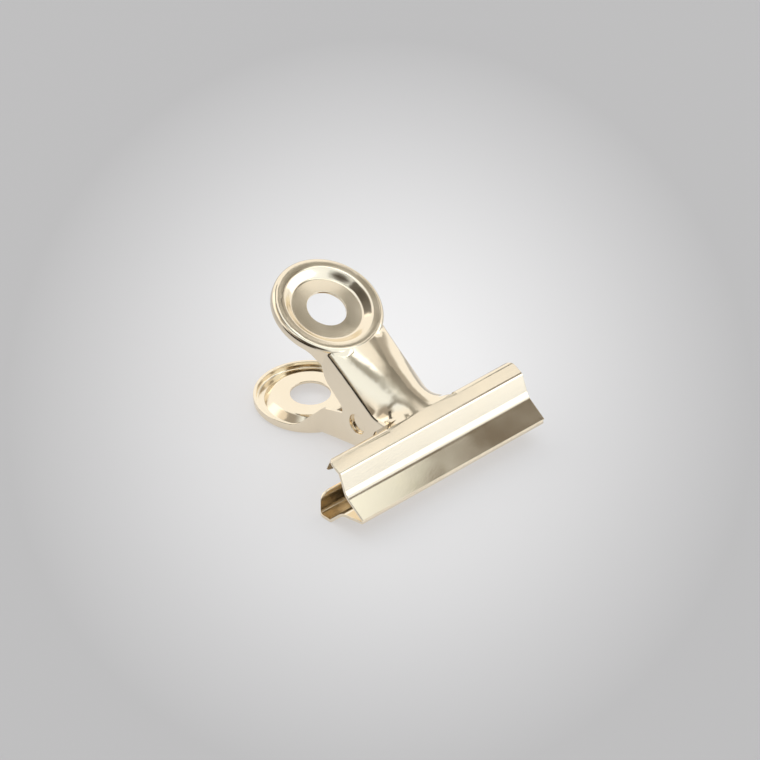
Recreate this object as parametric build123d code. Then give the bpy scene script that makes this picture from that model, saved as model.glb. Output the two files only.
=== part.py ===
from build123d import *
import os
from math import cos, radians, sin, sqrt

# Bulldog clip: two pressed sheet-steel jaws, alike but for their ears, closed by a bent flat spring.
# The upper jaw's ears carry drawn bosses that turn in round holes in the lower jaw's ears.
# The clip lies on the flat outer face of its lower jaw, with the mouth towards -Y and the bar along X.

# Sheet and gripping bar
sheet = 0.4  # thickness of the pressed steel
jaw_width = 32.0  # length of the gripping bar
shoulder_depth = 2.6  # flat band behind the bar's outer bend, over the rear flange
rear_height = 3.0  # rear flange, from the outer face to its free edge
rear_bend = 0.8  # outside radius between the band and the rear flange
rear_corner = 2.0  # radius of the rear flange's outer corners
end_round = 1.2  # radius of the bar's rear corners, seen from above
rear_gap = 11.8  # room for the neck between the two lengths of rear flange
shoulder_bend = 0.6  # outside radius between the band and the front wall
wall_length = 3.2  # front wall, from bend to bend
wall_angle = 45.0  # front wall's slope from the handle face
lip_bend = 2.2  # outside radius between the front wall and the lip
lip_length = 3.7  # lip, from its bend to the gripping edge
lip_angle = 10.0  # lip's slope from the handle face
lip_gap = 0.04  # room left between the closed gripping edges

# Handle: finger loop and arched neck
handle_angle = 12.0  # each handle face from the clip's mid-plane
loop_reach = 21.2  # the bar's outer bend to the centre of the finger loop
loop_diameter = 15.0  # over the rim
rim_height = 1.4  # turned-in rim, from the outer face
rim_round = 0.65  # outside radius at the foot of the rim
ring_width = 1.6  # flat ring, from the outside of the rim in to the edge of the dish
dish_run = 1.1  # slope of the dish, from its edge in to its flat floor
dish_lead = 0.12  # fall from the rim to the edge of the dish
dish_depth = 1.0  # floor of the dish below the outer face
dish_round = 0.6  # radius of the dish's two bends
hole_diameter = 5.35  # hanging hole in the loop
neck_width = 9.6  # over the outer pair of ears
neck_rise = 2.6  # crown of the arched neck above its side bends, where the flare ends
neck_flat = 0.1  # the same at the bar and at the loop
neck_round = 0.9  # outside radius of the neck's side bends
neck_spread = 0.3  # spread of the neck on each side where it runs into the loop
flare_spread = 1.4  # spread of the neck on each side where it runs into the bar
flare_length = 3.6  # length of the flare along the neck
flare_lap = 0.4  # the flare's overlap with the bar's flat band
flare_round = 1.0  # outside radius of the neck's sides at the bar
spread_fade = 4  # power by which both spreads die away, so that the ears stay flat
neck_steps = 4  # lengths that shape the flare, and as many the rest of the neck

# Flanges and pivot ears
pivot_reach = 13.3  # gripping edge to the pivot, along the mid-plane
ear_radius = 2.85  # round ear about the pivot
ear_gap = 0.06  # side clearance between outer and inner ears
ear_blend = 1.0  # radius from the ear into the flange's free edge
boss_radius = 1.8  # drawn boss in the outer ear
boss_clearance = 0.05  # radial clearance of the boss in its hole
flange_depth = 4.9  # side flange where the neck leaves the loop
flange_start = 7.2  # that place, ahead of the loop's centre
rim_end = 4.0  # where the rim starts to deepen, ahead of the loop's centre
flange_round = 2.0  # radius of the bends in the flange's free edge
heel_height = 4.2  # top of the slope on the flange's front edge, from the outer face
heel_run = 1.4  # length of that slope, down to the flat band

# Spring
spring_strip = 0.5  # thickness of the strip
spring_width = 5.0  # width of the strip
spring_front = 9.6  # gripping edge to the front of the bend
spring_half_height = 2.6  # the bend's corners from the mid-plane
spring_bend = 3.2  # centre-line radius of the bend
spring_seat = 13.5  # the bar's outer bend to where a leg bears on its neck
spring_clearance = 0.3  # leg from the crown of its neck
spring_tip = 1.2  # turned-in end of a leg
spring_tip_angle = 30.0  # the turned-in end's slope from the mid-plane
spring_tip_bend = 0.8  # centre-line radius at the turned-in end

loop_radius = loop_diameter / 2
wall_end = Vector(0, -wall_length * cos(radians(wall_angle)), wall_length * sin(radians(wall_angle)))
lip_end = wall_end + Vector(0, -lip_length * cos(radians(lip_angle)), lip_length * sin(radians(lip_angle)))
grip_edge = lip_end + Vector(0, sin(radians(lip_angle)), cos(radians(lip_angle))) * sheet

# Mid-plane of the closed clip, in the lower jaw's frame: along points to the handles, across to the upper jaw
along = Vector(0, cos(radians(handle_angle)), sin(radians(handle_angle)))
across = Vector(0, -sin(radians(handle_angle)), cos(radians(handle_angle)))
mouth = grip_edge + across * (lip_gap / 2)
pivot = mouth + along * pivot_reach
mid_axis = Axis(mouth, along)

# Raw walls, before their free edge is trimmed, and where the neck starts and ends
wall_top = pivot.Z + 2 * ear_radius
ear_front = pivot.Y - ear_radius
ear_rear = pivot.Y + ear_radius
neck_end = loop_reach - loop_radius / 2
flare_front = shoulder_depth - flare_lap
flare_end = flare_front + flare_length

# Sketch plane square to the bar: its x is the clip's Y and its y is the clip's Z
side_plane = Plane(origin=(0, 0, 0), x_dir=(0, 1, 0), z_dir=(1, 0, 0))


def strip_face(outer_line):
    """Closed section of a sheet whose outer side is the given line, with the metal on its right."""
    return make_face(offset(outer_line, sheet, side=Side.RIGHT).edges())


def bar():
    """Gripping bar bent from one strip: rear flange, parted by the neck, flat band, front wall and lip."""
    points = [
        (shoulder_depth, rear_height),
        (shoulder_depth, 0),
        (0, 0),
        (wall_end.Y, wall_end.Z),
        (lip_end.Y, lip_end.Z),
    ]
    line = FilletPolyline(*points, radius=[rear_bend, shoulder_bend, lip_bend])
    solid = extrude(side_plane * strip_face(line), amount=jaw_width / 2, both=True)
    flange_corners = solid.edges().filter_by(Axis.Y).group_by(Axis.Z)[-1]
    solid = fillet(flange_corners, rear_corner)
    corner = Box(2 * end_round, 2 * end_round, 4 * wall_top)
    corner -= Pos(-end_round, -end_round) * Cylinder(end_round, 4 * wall_top)
    corner = Pos(jaw_width / 2, shoulder_depth) * corner
    solid -= corner + mirror(corner, about=Plane.YZ)
    rear_start = shoulder_depth - rear_bend
    gap = Pos(0, rear_start + wall_top / 2, 0) * Box(rear_gap, wall_top, 2 * wall_top)
    web_depth = flare_front - shoulder_bend
    web = Pos(0, shoulder_bend + web_depth / 2, sheet / 2) * Box(rear_gap, web_depth, sheet)
    return solid - gap + web


def loop_shell():
    """Finger loop: dished disc with its hole and a wall round its edge."""
    points = [
        (loop_radius, wall_top),
        (loop_radius, 0),
        (loop_radius - ring_width, dish_lead),
        (loop_radius - ring_width - dish_run, dish_depth),
        (hole_diameter / 2, dish_depth),
    ]
    line = FilletPolyline(*points, radius=[rim_round, dish_round, dish_round])
    return Pos(0, loop_reach, 0) * revolve(Plane.XZ * strip_face(line), axis=Axis.Z)


def arch(y, half_width, rise, corner, inset):
    """Section across the neck: arched crown, rounded side bends and upright sides, drawn in by the inset."""
    radius = (half_width**2 + rise**2) / (2 * rise)
    side = half_width - inset
    drop = radius - sqrt((radius - inset) ** 2 - side**2)
    crown = ThreePointArc((-side, drop), (0, inset), (side, drop))
    sides = Polyline((side, drop), (side, wall_top), (-side, wall_top), (-side, drop))
    face = make_face(crown.edges() + sides.edges())
    bends = face.vertices().group_by(Axis.Y)[0]
    return Plane(origin=(0, y, 0), x_dir=(1, 0, 0), z_dir=(0, -1, 0)) * fillet(bends, corner - inset)


def neck_block(half_width, inset):
    """Raw neck, drawn in by the inset: flares and flattens into the bar, and into the loop."""
    flare = []
    taper = []
    for step in range(neck_steps + 1):
        part = step / neck_steps
        bell = flare_spread * (1 - part) ** spread_fade
        rise = neck_flat + (neck_rise - neck_flat) * sin(radians(90 * part))
        corner = flare_round + (neck_round - flare_round) * part
        flare.append(arch(flare_front + flare_length * part, half_width + bell, rise, corner, inset))
        rise = neck_rise + (neck_flat - neck_rise) * part
        corner = neck_round + (rim_round - neck_round) * part
        reach = flare_end + (neck_end - flare_end) * part
        taper.append(arch(reach, half_width + neck_spread * part**spread_fade, rise, corner, inset))
    return loft(flare) + loft(taper)


def free_edge():
    """Space kept for the handle, seen from the side: ear, sloping flange, then the low rim of the loop."""
    far = loop_reach + loop_diameter
    corners = [
        (ear_front - heel_run, sheet),
        (ear_front, heel_height),
        (ear_front, pivot.Z),
        (ear_rear, pivot.Z),
        (loop_reach - flange_start, flange_depth),
        (loop_reach - rim_end, rim_height),
    ]
    outline = [(-wall_top, -wall_top), (-wall_top, sheet), *corners, (far, rim_height), (far, -wall_top)]
    face = make_face(Polyline(*outline, close=True))
    bends = [face.vertices().sort_by_distance((*corner, 0))[0] for corner in corners[-2:]]
    face = fillet(bends, flange_round)
    face += Pos(pivot.Y, pivot.Z) * Circle(ear_radius)
    notch = face.vertices().sort_by_distance((ear_rear, pivot.Z, 0))[0]
    face = fillet(notch, ear_blend)
    return extrude(side_plane * face, amount=jaw_width, both=True)


def ear_disc(radius, inner_x, outer_x):
    """Round disc about the pivot on both sides of the clip, between two distances from its middle."""
    plane = Plane(origin=(inner_x, pivot.Y, pivot.Z), z_dir=(1, 0, 0))
    disc = extrude(plane * Circle(radius), amount=outer_x - inner_x)
    return disc + mirror(disc, about=Plane.YZ)


def jaw(half_width):
    """One jaw, lying on its outer face, with its ears' outer sides at the given distance from the middle."""
    inner = neck_block(half_width, sheet)
    loop_middle = Pos(0, loop_reach, wall_top / 2)
    seam_radius = loop_radius - rim_round / 2
    neck = neck_block(half_width, 0.0) - inner - loop_middle * Cylinder(seam_radius, 2 * wall_top)
    opening = inner - loop_middle * Cylinder(loop_radius - rim_round, 2 * wall_top)
    handle = (neck + (loop_shell() - opening)) & free_edge()
    return bar() + handle


def lower_jaw():
    """Jaw with the inner ears, each with the hole that a boss turns in."""
    half_width = neck_width / 2 - sheet - ear_gap
    hole = ear_disc(boss_radius + boss_clearance, half_width - 2 * sheet, half_width + sheet)
    return jaw(half_width) - hole


def upper_jaw():
    """Jaw with the outer ears, each drawn inwards to a hollow boss, turned over onto the lower jaw."""
    half_width = neck_width / 2
    boss_face = half_width - 2 * sheet - ear_gap
    boss = ear_disc(boss_radius, boss_face, half_width - sheet / 2)
    hollow = ear_disc(boss_radius - sheet, boss_face + sheet, half_width + sheet)
    return (jaw(half_width) + boss - hollow).rotate(mid_axis, 180)


def spring():
    """Bent strip: a bend ahead of the pivot and two legs that bear on the necks, with turned-in ends."""
    seat = Vector(0, spring_seat, sheet + spring_clearance + spring_strip / 2) - mouth
    seat_along = seat.dot(along)
    seat_across = -seat.dot(across)
    front = spring_front + spring_strip / 2
    tip_along = seat_along + spring_tip * cos(radians(spring_tip_angle))
    tip_across = seat_across - spring_tip * sin(radians(spring_tip_angle))
    half = [(tip_along, tip_across), (seat_along, seat_across), (front, spring_half_height)]
    other = [(a, -c) for a, c in reversed(half)]
    radii = [spring_tip_bend, spring_bend, spring_bend, spring_tip_bend]
    line = FilletPolyline(*half, *other, radius=radii)
    section = trace(line, spring_strip)
    plane = Plane(origin=mouth, x_dir=along, z_dir=(1, 0, 0))
    return extrude(plane * section, amount=spring_width / 2, both=True)


pieces = {"lower_jaw": lower_jaw(), "upper_jaw": upper_jaw(), "spring": spring()}
box = Compound(children=[Compound(piece.solids()) for piece in pieces.values()]).bounding_box()
to_origin = Pos(-box.center().X, -box.center().Y, -box.min.Z)

os.makedirs("parts", exist_ok=True)
for name, piece in pieces.items():
    export_step(to_origin * piece, f"parts/{name}.step")

print("pivot at", (to_origin * Pos(pivot)).position, "lips at", (to_origin * Pos(mouth)).position)
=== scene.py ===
from math import cos, pi, radians, sin

import bpy
from mathutils import Matrix, Vector


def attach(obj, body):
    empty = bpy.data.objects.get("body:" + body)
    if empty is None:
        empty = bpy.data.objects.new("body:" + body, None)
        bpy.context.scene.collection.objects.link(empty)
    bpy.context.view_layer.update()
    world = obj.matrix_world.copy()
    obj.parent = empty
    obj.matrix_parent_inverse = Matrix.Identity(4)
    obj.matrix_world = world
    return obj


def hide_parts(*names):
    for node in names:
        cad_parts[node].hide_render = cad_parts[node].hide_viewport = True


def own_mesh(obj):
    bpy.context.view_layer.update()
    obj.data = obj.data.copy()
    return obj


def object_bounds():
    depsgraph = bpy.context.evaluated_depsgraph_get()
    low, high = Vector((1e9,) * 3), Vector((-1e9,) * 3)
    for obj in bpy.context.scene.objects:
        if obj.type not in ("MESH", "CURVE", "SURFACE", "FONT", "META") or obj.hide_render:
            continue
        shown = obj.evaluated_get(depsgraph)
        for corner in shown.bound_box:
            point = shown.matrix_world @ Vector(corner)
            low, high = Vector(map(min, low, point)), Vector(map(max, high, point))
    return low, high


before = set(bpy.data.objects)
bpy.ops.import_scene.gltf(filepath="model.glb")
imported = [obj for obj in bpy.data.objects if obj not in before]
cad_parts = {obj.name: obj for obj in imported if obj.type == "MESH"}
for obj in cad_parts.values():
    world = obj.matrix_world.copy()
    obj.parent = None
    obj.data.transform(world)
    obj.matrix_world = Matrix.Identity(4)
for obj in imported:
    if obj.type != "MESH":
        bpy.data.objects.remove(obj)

cad_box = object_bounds()


# Lower jaw
# One pressing of thin sheet steel, nickel plated: gripping bar, arched neck, dished finger loop and the inner
# pair of ears. The blank is cut, drawn and folded, then tumbled, which rounds its cut edges a little.
MM = 0.001
EDGE_ROUND = 0.07 * MM
WELD_WITHIN = 0.015 * MM
ONE_FACE_WITHIN = radians(0.3)
CUT_EDGE_TURN = radians(60)
SMOOTH_TURN = radians(55)


def linear(code):
    """sRGB hex colour as linear RGBA."""
    values = [int(code[i:i + 2], 16) / 255 for i in (1, 3, 5)]
    return [v / 12.92 if v <= 0.04045 else ((v + 0.055) / 1.055) ** 2.4 for v in values] + [1.0]


def add_node(tree, kind, settings=None, values=None, links=None):
    """Adds a node, sets its properties and inputs, and links its inputs from other nodes' outputs."""
    node = tree.nodes.new(kind)
    for key, value in (settings or {}).items():
        setattr(node, key, value)
    for key, value in (values or {}).items():
        node.inputs[key].default_value = value
    for key, (source, output) in (links or {}).items():
        tree.links.new(source.outputs[output], node.inputs[key])
    return node


def new_tree(name):
    """A new material with an empty node tree, and that tree's output node."""
    material = bpy.data.materials.new(name)
    material.use_nodes = True
    tree = material.node_tree
    tree.nodes.clear()
    return material, tree, add_node(tree, "ShaderNodeOutputMaterial")


def deselect():
    """Nothing selected, so that the next operator acts on what it is given."""
    bpy.ops.object.select_all(action="DESELECT")


def dressed_copy(node, name, body, joins):
    """A copy of a pressed piece with its cut edges rounded, which stands for the bare solid. The joins, each
    a middle and a reach in mm, are where the neck runs on into the bar and the loop and has no cut edge."""
    deselect()
    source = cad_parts[node]
    source.select_set(True)
    bpy.context.view_layer.objects.active = source
    bpy.ops.object.duplicate()
    piece = bpy.context.view_layer.objects.active
    piece.name = name
    piece.data.name = name
    piece.data.materials.clear()
    bpy.ops.mesh.customdata_custom_splitnormals_clear()

    # The solid's loose triangles become one skin of whole faces.
    bpy.ops.object.mode_set(mode="EDIT")
    bpy.ops.mesh.select_all(action="SELECT")
    bpy.ops.mesh.remove_doubles(threshold=WELD_WITHIN)
    bpy.ops.mesh.dissolve_degenerate(threshold=WELD_WITHIN)
    bpy.ops.mesh.dissolve_limited(angle_limit=ONE_FACE_WITHIN, delimit={"NORMAL"})

    # The cut edges are the sharp ones away from the joins.
    bpy.ops.mesh.select_mode(type="EDGE")
    bpy.ops.mesh.select_all(action="DESELECT")
    bpy.ops.mesh.edges_select_sharp(sharpness=CUT_EDGE_TURN)
    bpy.ops.object.mode_set(mode="OBJECT")
    for edge in piece.data.edges:
        first, last = [piece.data.vertices[index].co for index in edge.vertices]
        for middle, reach in joins:
            if ((first + last) / 2 - Vector(middle) * MM).length < reach * MM:
                edge.select = False
    bpy.ops.object.mode_set(mode="EDIT")
    bpy.ops.mesh.bevel(offset=EDGE_ROUND, segments=2, clamp_overlap=False, loop_slide=False)
    bpy.ops.object.mode_set(mode="OBJECT")

    # A point that the rounding throws off the solid goes back onto it, and none goes below the table.
    for vertex in piece.data.vertices:
        spot = source.closest_point_on_mesh(vertex.co)[1]
        if (spot - vertex.co).length > EDGE_ROUND / 2:
            vertex.co = spot
        vertex.co.z = max(vertex.co.z, cad_box[0][2])
    bpy.ops.object.shade_smooth_by_angle(angle=SMOOTH_TURN)
    level = piece.modifiers.new("flat_faces", "WEIGHTED_NORMAL")
    level.keep_sharp = True
    bpy.ops.object.modifier_apply(modifier=level.name)
    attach(piece, body)
    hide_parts(node)
    return piece


# Bright nickel plate on pressed steel gives the eye a pale, warm mirror whose reflections run a little soft.
# The sheet's grain shows through as a fine peel: about 0.05 mm across, drawn at 0.2 mm, coarser, so that it
# shows. Handling leaves a faint haze, in patches of about 5 mm.
PEEL_SIZE = 0.2 * MM
PEEL_DEPTH = 0.01 * MM
PEEL_STRENGTH = 0.25
HAZE_SIZE = 5.0 * MM
HAZE_FROM = 0.35
HAZE_TO = 0.7
CLEAN_ROUGHNESS = 0.1
HAZY_ROUGHNESS = 0.17
NICKEL_DEEP = "#EDDFC6"
NICKEL_PALE = "#F3E7D2"
nickel, tree, output = new_tree("bright_nickel_plate")
place = add_node(tree, "ShaderNodeTexCoord")
peel = add_node(
    tree,
    "ShaderNodeTexNoise",
    values={"Scale": 1 / PEEL_SIZE, "Detail": 2.0, "Roughness": 0.6},
    links={"Vector": (place, "Object")},
)
bump = add_node(
    tree,
    "ShaderNodeBump",
    values={"Strength": PEEL_STRENGTH, "Distance": PEEL_DEPTH},
    links={"Height": (peel, "Fac")},
)
cloud = add_node(
    tree,
    "ShaderNodeTexNoise",
    values={"Scale": 1 / HAZE_SIZE, "Detail": 4.0},
    links={"Vector": (place, "Object")},
)
haze = add_node(
    tree,
    "ShaderNodeMapRange",
    values={"From Min": HAZE_FROM, "From Max": HAZE_TO, "To Min": CLEAN_ROUGHNESS, "To Max": HAZY_ROUGHNESS},
    links={"Value": (cloud, "Fac")},
)
tone = add_node(tree, "ShaderNodeValToRGB", links={"Fac": (cloud, "Fac")})
tone.color_ramp.elements[0].color = linear(NICKEL_DEEP)
tone.color_ramp.elements[1].color = linear(NICKEL_PALE)
surface = add_node(
    tree,
    "ShaderNodeBsdfPrincipled",
    values={"Metallic": 1.0},
    links={"Base Color": (tone, "Color"), "Roughness": (haze, "Result"), "Normal": (bump, "Normal")},
)
tree.links.new(surface.outputs["BSDF"], output.inputs["Surface"])

# Neck to loop, then neck to bar.
LOWER_JOINS = (((0, 3.0, 1.2), 6.0), ((0, -8.8, 0.5), 6.6))
lower_jaw = dressed_copy("lower_jaw", "pressed_lower_jaw", "lower", LOWER_JOINS)
lower_jaw.data.materials.append(nickel)


# Upper jaw
# The same plated pressing turned over, with a neck wide enough for its ears to pass outside those of the
# lower jaw. Each ear is drawn inwards to a hollow boss, which turns in the hole of the ear beside it.
UPPER_JOINS = (((0, 0.3, 14.2), 6.0), ((0, -10.8, 9.4), 6.6))
upper_jaw = dressed_copy("upper_jaw", "pressed_upper_jaw", "upper", UPPER_JOINS)
upper_jaw.data.materials.append(nickel)


# Spring
# A flat strip of hardened spring steel, bent to a bow between the necks. Its legs bear on the inside of the
# two handles and push them apart, which shuts the lips.

# Ground spring steel gives the eye a greyer, duller metal than the plate, with fine lines along the strip.
# They are about 0.02 mm wide, and drawn at 0.12 mm, coarser, so that they show, and twenty times as long.
LINE_WIDTH = 0.12 * MM
LINE_STRETCH = 1 / 20
SMOOTH_LINE = 0.24
ROUGH_LINE = 0.42
STEEL = "#B9B0A2"
spring_steel, tree, output = new_tree("satin_spring_steel")
place = add_node(tree, "ShaderNodeTexCoord")
lay = add_node(
    tree,
    "ShaderNodeMapping",
    values={"Scale": (1.0, LINE_STRETCH, LINE_STRETCH)},
    links={"Vector": (place, "Object")},
)
grind = add_node(
    tree,
    "ShaderNodeTexNoise",
    values={"Scale": 1 / LINE_WIDTH, "Detail": 2.0},
    links={"Vector": (lay, "Vector")},
)
rough = add_node(
    tree,
    "ShaderNodeMapRange",
    values={"To Min": SMOOTH_LINE, "To Max": ROUGH_LINE},
    links={"Value": (grind, "Fac")},
)
surface = add_node(
    tree,
    "ShaderNodeBsdfPrincipled",
    values={"Metallic": 1.0, "Base Color": linear(STEEL)},
    links={"Roughness": (rough, "Result")},
)
tree.links.new(surface.outputs["BSDF"], output.inputs["Surface"])

bow = dressed_copy("spring", "flat_bow_spring", "lower", ())
bow.data.materials.append(spring_steel)
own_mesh(bow)


# Camera
# Long lens from the mouth's left, looking down at the clip. Its place, in mm from the middle of the lips, and
# its focal length, in pixels of a picture 760 wide, were fitted to the clip's outline.
PICTURE_WIDTH = 760
FOCAL_LENGTH = 5833.762
SENSOR_WIDTH = 36
NEAREST = 0.05
FURTHEST = 20
AZIMUTH = radians(-43.064)
ELEVATION = radians(35.391)
LIPS = Vector((0, -17.1567, 3.31873)) * MM
EYE_BACK = 743.724
EYE_LEFT = 9.401
EYE_UP = 11.543
back = Vector((sin(AZIMUTH) * cos(ELEVATION), -cos(AZIMUTH) * cos(ELEVATION), sin(ELEVATION)))
right = Vector((cos(AZIMUTH), sin(AZIMUTH), 0))
up = back.cross(right)
eye = LIPS + (back * EYE_BACK - right * EYE_LEFT + up * EYE_UP) * MM
lens = bpy.data.cameras.new("camera")
lens.sensor_width = SENSOR_WIDTH
lens.lens = SENSOR_WIDTH * FOCAL_LENGTH / PICTURE_WIDTH
lens.clip_start = NEAREST
lens.clip_end = FURTHEST
camera = bpy.data.objects.new("camera", lens)
bpy.context.scene.collection.objects.link(camera)
camera.matrix_world = Matrix((right, up, back)).transposed().to_4x4()
camera.location = eye
bpy.context.scene.camera = camera


# Floor
# Plain pale table of matt paper, with a painted pool of light: lighter in a round pool in the middle of
# the view and darker beyond. Half of its tone is a painted glow where it is seen or mirrored, so that the
# clip's shadow stays faint.
FLOOR_SIZE = 6.0
PAINTED_POOL_RADIUS = 48.907 * MM
PAINTED_POOL_MIDDLE = "#FDFCFD"
PAINTED_POOL_RINGS = ((0.25, "#F5F4F5"), (0.5, "#E6E5E6"), (0.75, "#D5D4D5"))
PAINTED_POOL_EDGE = "#C4C3C4"
PAINTED_GLOW_SHARE = 0.5
PAINTED_GLOW_LEVEL = 0.96
MATT = {"Roughness": 0.9, "Specular IOR Level": 0.0}
deselect()
bpy.ops.mesh.primitive_plane_add(size=FLOOR_SIZE, location=(0, 0, 0))
floor = bpy.context.view_layer.objects.active
floor.name = "floor"
aim = eye - back * (eye.z / back.z)
paper, tree, output = new_tree("pale_paper_painted_light")
place = add_node(tree, "ShaderNodeTexCoord")
turned = add_node(
    tree,
    "ShaderNodeMapping",
    {"vector_type": "TEXTURE"},
    values={
        "Location": (aim.x, aim.y, 0),
        "Rotation": (0, 0, AZIMUTH),
        "Scale": (PAINTED_POOL_RADIUS, PAINTED_POOL_RADIUS / sin(ELEVATION), 1),
    },
    links={"Vector": (place, "Object")},
)
radius = add_node(tree, "ShaderNodeVectorMath", {"operation": "LENGTH"}, links={0: (turned, "Vector")})
# Painted pool of light: the colour fades from the pale middle to the darker table beyond the pool.
ramp = add_node(tree, "ShaderNodeValToRGB", links={"Fac": (radius, "Value")})
ramp.color_ramp.elements[0].color = linear(PAINTED_POOL_MIDDLE)
ramp.color_ramp.elements[1].color = linear(PAINTED_POOL_EDGE)
for ring, code in PAINTED_POOL_RINGS:
    ramp.color_ramp.elements.new(ring).color = linear(code)
surface = add_node(tree, "ShaderNodeBsdfPrincipled", values=MATT, links={"Base Color": (ramp, "Color")})
# Painted glow: half of the floor is emission where seen or mirrored, which lightens the clip's shadow.
rays = add_node(tree, "ShaderNodeLightPath")
seen = add_node(
    tree,
    "ShaderNodeMath",
    {"operation": "MAXIMUM"},
    links={0: (rays, "Is Camera Ray"), 1: (rays, "Is Glossy Ray")},
)
own = add_node(
    tree,
    "ShaderNodeMath",
    {"operation": "MULTIPLY"},
    values={1: PAINTED_GLOW_SHARE},
    links={0: (seen, "Value")},
)
glow = add_node(tree, "ShaderNodeEmission", values={"Strength": PAINTED_GLOW_LEVEL}, links={"Color": (ramp, "Color")})
mixed = add_node(
    tree,
    "ShaderNodeMixShader",
    links={0: (own, "Value"), 1: (surface, "BSDF"), 2: (glow, "Emission")},
)
tree.links.new(mixed.outputs["Shader"], output.inputs["Surface"])
paper.cycles.emission_sampling = "NONE"
floor.data.materials.append(paper)


# Studio light
# A pale room with white cards in front, daylight from the back left, and two panels on the right that only
# the plate shows. Darker parts of the room, and tinted cards hung near the clip, give the plate its brown
# reflections.
def softbox(name, place, aim_at, width, height, radiance, code, on_table=True):
    """Rectangular area lamp that faces a point, in metres, with the given brightness of its face."""
    lamp = bpy.data.lights.new(name, "AREA")
    lamp.shape = "RECTANGLE"
    lamp.size = width
    lamp.size_y = height
    lamp.energy = radiance * pi * width * height
    lamp.color = linear(code)[:3]
    holder = bpy.data.objects.new(name, lamp)
    bpy.context.scene.collection.objects.link(holder)
    holder.location = place
    holder.rotation_mode = "QUATERNION"
    holder.rotation_quaternion = (Vector(place) - Vector(aim_at)).to_track_quat("Z", "Y")
    holder.visible_camera = False
    holder.visible_diffuse = on_table


softbox(
    "daylight_back_left",
    place=(-0.34, 0.5, 0.5),
    aim_at=(0, 0, 0),
    width=0.6,
    height=0.4,
    radiance=0.55,
    code="#FFF4E2",
)
softbox(
    "panel_low_right",
    place=(0.089, -0.133, 0.04),
    aim_at=(0, 0, 0.02),
    width=0.26,
    height=0.08,
    radiance=1.02,
    code="#E2ECF6",
    on_table=False,
)
softbox(
    "panel_high_right",
    place=(0.066, -0.056, 0.174),
    aim_at=(0, -0.0165, 0.0043),
    width=0.06,
    height=0.1,
    radiance=1.12,
    code="#E8F2F4",
    on_table=False,
)


def flag(name, code, corners, faces):
    """Tinted card hung near the clip, its corners in mm. Only the plate shows it: it shades nothing."""
    card = bpy.data.meshes.new(name)
    card.from_pydata([[value * MM for value in corner] for corner in corners], [], faces)
    holder = bpy.data.objects.new(name, card)
    bpy.context.scene.collection.objects.link(holder)
    holder.visible_camera = False
    holder.visible_diffuse = False
    holder.visible_shadow = False
    board, tree, output = new_tree(name + "_board")
    surface = add_node(tree, "ShaderNodeBsdfPrincipled", values={"Base Color": linear(code), **MATT})
    tree.links.new(surface.outputs["BSDF"], output.inputs["Surface"])
    card.materials.append(board)


# Each flag is named for the part of the clip that mirrors it.
flag(
    "left_flag",
    "#2E2B28",
    ((-45, -32, 1), (-45, 27, 1), (-45, 27, 21), (-45, -32, 21)),
    ((0, 1, 2, 3),),
)
flag(
    "dish_flag",
    "#C6C2B9",
    (
        (22, 4.8, 66),
        (28, 0.8, 66),
        (39.6, 0.8, 66),
        (39.6, 6.6, 66),
        (33, 6.8, 66),
        (30.8, 8.2, 66),
        (30.2, 13, 66),
        (21, 13, 66),
    ),
    ((0, 1, 4, 5), (1, 2, 3, 4), (0, 5, 6, 7)),
)
flag(
    "dish_edge_flag",
    "#77736D",
    ((33.5, 1.2, 65), (36.8, 1.0, 65), (39, 3.6, 65), (39.2, 7, 65), (36.6, 7.4, 65), (36.2, 4.2, 65)),
    ((0, 1, 2, 3, 4, 5),),
)
flag(
    "neck_flag",
    "#B4B0A8",
    (
        (56, 1, 60),
        (40, -3.5, 60),
        (18, -9.3, 60),
        (-4, -9.6, 60),
        (-24, 0.5, 60),
        (-28, -3.5, 60),
        (-22, -8, 60),
        (-4, -13.5, 60),
        (16, -13.5, 60),
        (30, -12.5, 60),
        (56, -9, 60),
    ),
    ((0, 1, 9, 10), (1, 2, 8, 9), (2, 3, 7, 8), (3, 4, 5, 6, 7)),
)
flag(
    "dish_wall_flag",
    "#6A6660",
    (
        (-15.5, -0.2, 37.5),
        (-11.7, -1.6, 40.5),
        (-14.4, 9.0, 39.3),
        (-10.6, 7.6, 42.3),
        (-10.2, 16.7, 39.0),
        (-6.4, 15.3, 42.0),
        (-1.8, 24.0, 35.7),
        (2.0, 22.6, 38.7),
    ),
    ((0, 1, 3, 2), (2, 3, 5, 4), (4, 5, 7, 6)),
)

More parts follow.
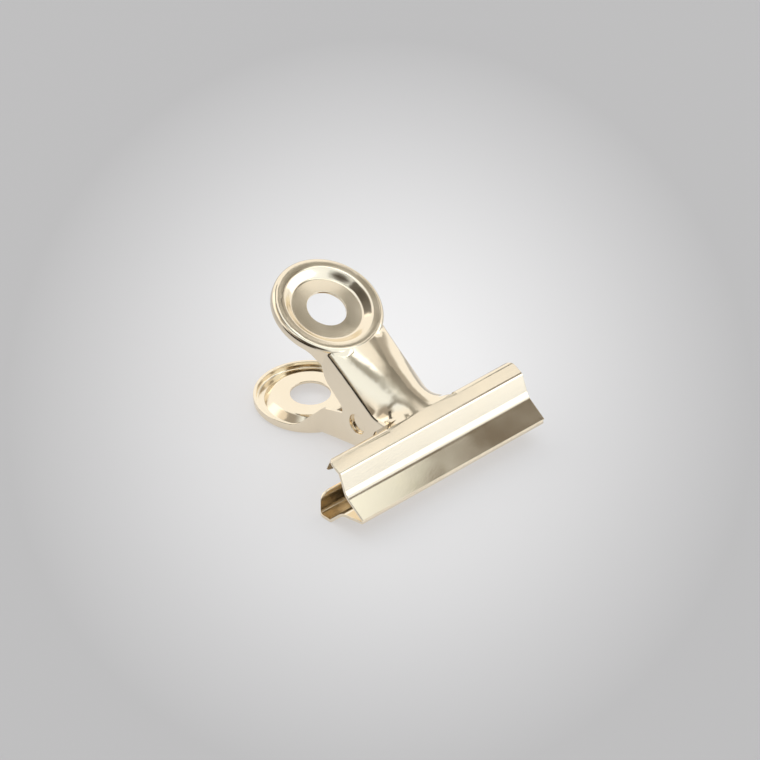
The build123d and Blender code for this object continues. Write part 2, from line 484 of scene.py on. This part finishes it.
# Each card of the room: degrees round from +X, degrees up, half-width in degrees within and with its soft
# edge, and tone. A later card covers an earlier one.
ROOM_TONE = "#DCDBD8"
ROOM_LEVEL = 1.56
ROOM_CARDS = (
    ("white_front_wall", -98, 25, 34, 62, "#DAE1E6"),
    ("white_front_ceiling", -120, 70, 18, 42, "#D7DEE3"),
    ("brown_right_wall", 3, 37, 9, 14.5, "#95918B"),
    ("dark_right_corner", -28, 47.5, 6, 9, "#645D54"),
    ("dark_right_ledge", -38, 43, 5, 8, "#645D54"),
    ("dark_right_rail", -18, 53, 4, 7, "#645D54"),
    ("dark_camera_side", 222, 20, 20, 34, "#3F3A34"),
    ("dim_left_wall", 186, 20, 6, 20, "#756E65"),
    ("dim_back_ceiling", 150, 52, 12, 27, "#8A857E"),
)
world = bpy.data.worlds.new("room")
bpy.context.scene.world = world
world.use_nodes = True
tree = world.node_tree
tree.nodes.clear()
output = add_node(tree, "ShaderNodeOutputWorld")
place = add_node(tree, "ShaderNodeTexCoord")
sky = add_node(tree, "ShaderNodeBackground", values={"Strength": ROOM_LEVEL})
tree.links.new(sky.outputs["Background"], output.inputs["Surface"])
above = None
for label, round_from_x, rise, inner, outer, code in ROOM_CARDS:
    turn = radians(round_from_x)
    lift = radians(rise)
    middle = (cos(turn) * cos(lift), sin(turn) * cos(lift), sin(lift))
    nearness = add_node(
        tree,
        "ShaderNodeVectorMath",
        {"operation": "DOT_PRODUCT", "label": label},
        values={1: middle},
        links={0: (place, "Generated")},
    )
    share = add_node(
        tree,
        "ShaderNodeMapRange",
        {"interpolation_type": "SMOOTHSTEP"},
        values={"From Min": cos(radians(outer)), "From Max": cos(radians(inner))},
        links={"Value": (nearness, "Value")},
    )
    card = add_node(
        tree,
        "ShaderNodeMix",
        {"data_type": "RGBA"},
        values={"A": linear(ROOM_TONE), "B": linear(code)},
        links={"Factor": (share, "Result")},
    )
    if above is not None:
        tree.links.new(above.outputs["Result"], card.inputs["A"])
    above = card
tree.links.new(above.outputs["Result"], sky.inputs["Color"])

bpy.context.scene.view_settings.view_transform = "Standard"
